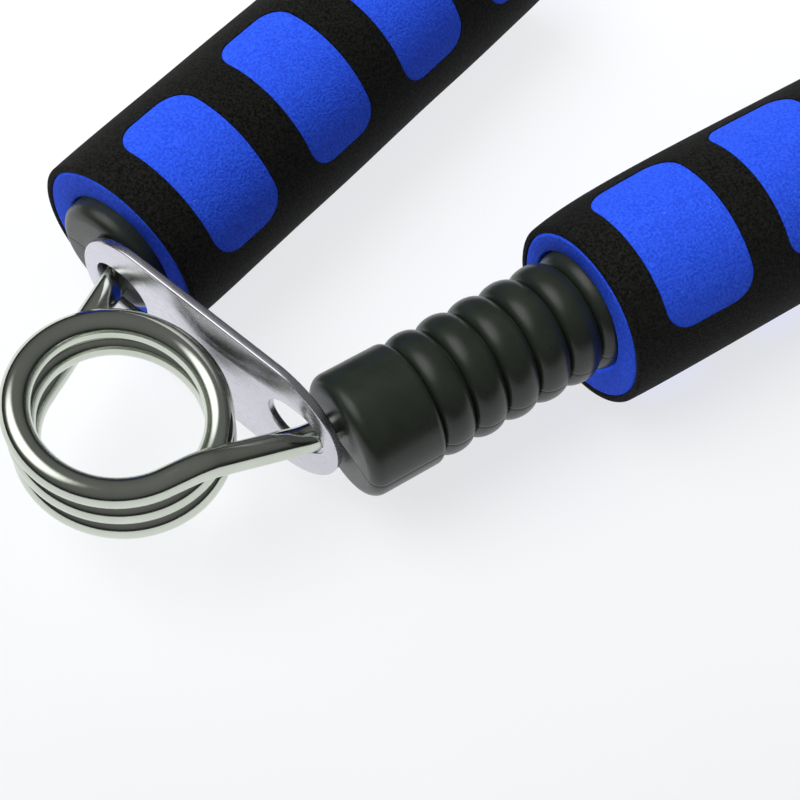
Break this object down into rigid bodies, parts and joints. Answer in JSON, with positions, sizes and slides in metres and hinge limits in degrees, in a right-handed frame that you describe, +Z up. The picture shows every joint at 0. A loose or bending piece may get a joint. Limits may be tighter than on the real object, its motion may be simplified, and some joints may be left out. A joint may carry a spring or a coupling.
{
  "type": "hand grip strengthener",
  "caption": "Hand exerciser: a coiled torsion spring with two straight legs, a slotted steel link plate, and a ribbed plastic core with a foam grip on each leg.",
  "frame": {"origin": "centre of the box's underside; the gripper lies flat on its two round grips", "axes": "+Z up along the coil's axis, +Y from the coil towards the handles' far ends, +X from the left handle to the right one"},
  "size_m": [0.1088, 0.1672, 0.03],
  "materials": {
    "spring_steel": "bright plated",
    "plate_steel": "satin plated",
    "core_plastic": "gloss moulded",
    "blue_foam": "closed-cell foam",
    "black_foam": "closed-cell foam"
  },
  "bodies": {
    "left_arm": {"spring_coil": "spring_steel", "spring_leg_left": "spring_steel", "left_core_upper": "core_plastic", "left_core_lower": "core_plastic"},
    "right_arm": {"spring_leg_right": "spring_steel", "right_core_upper": "core_plastic", "right_core_lower": "core_plastic"},
    "link_plate": {"link_plate": "plate_steel"},
    "left_grip": {"left_foam_inner": "blue_foam", "left_foam_outer": "black_foam"},
    "right_grip": {"right_foam_inner": "blue_foam", "right_foam_outer": "black_foam"}
  },
  "joints": [
    {"name": "squeeze", "type": "hinge", "parent": "left_arm", "child": "right_arm", "pos_m": [-0.00105, -0.06851, 0.015], "axis": [0, 0, 1], "range_deg": [0, 20.5], "stiffness_Nm_per_rad": 13.6, "springref_deg": -5.73},
    {"name": "plate_swing", "type": "hinge", "parent": "left_arm", "child": "link_plate", "pos_m": [-0.00105, -0.06851, 0.015], "axis": [0, 0, 1], "range_deg": [0, 10.25]},
    {"name": "left_grip_slide", "type": "slide", "parent": "left_arm", "child": "left_grip", "axis": [-0.1564, 0.9877, 0], "range_m": [0, 0.0371]},
    {"name": "right_grip_slide", "type": "slide", "parent": "right_arm", "child": "right_grip", "axis": [0.1564, 0.9877, 0], "range_m": [-0.0371, 0]}
  ],
  "couplings": [
    {"joint": "plate_swing", "follows": "squeeze", "ratio": 0.5}
  ]
}
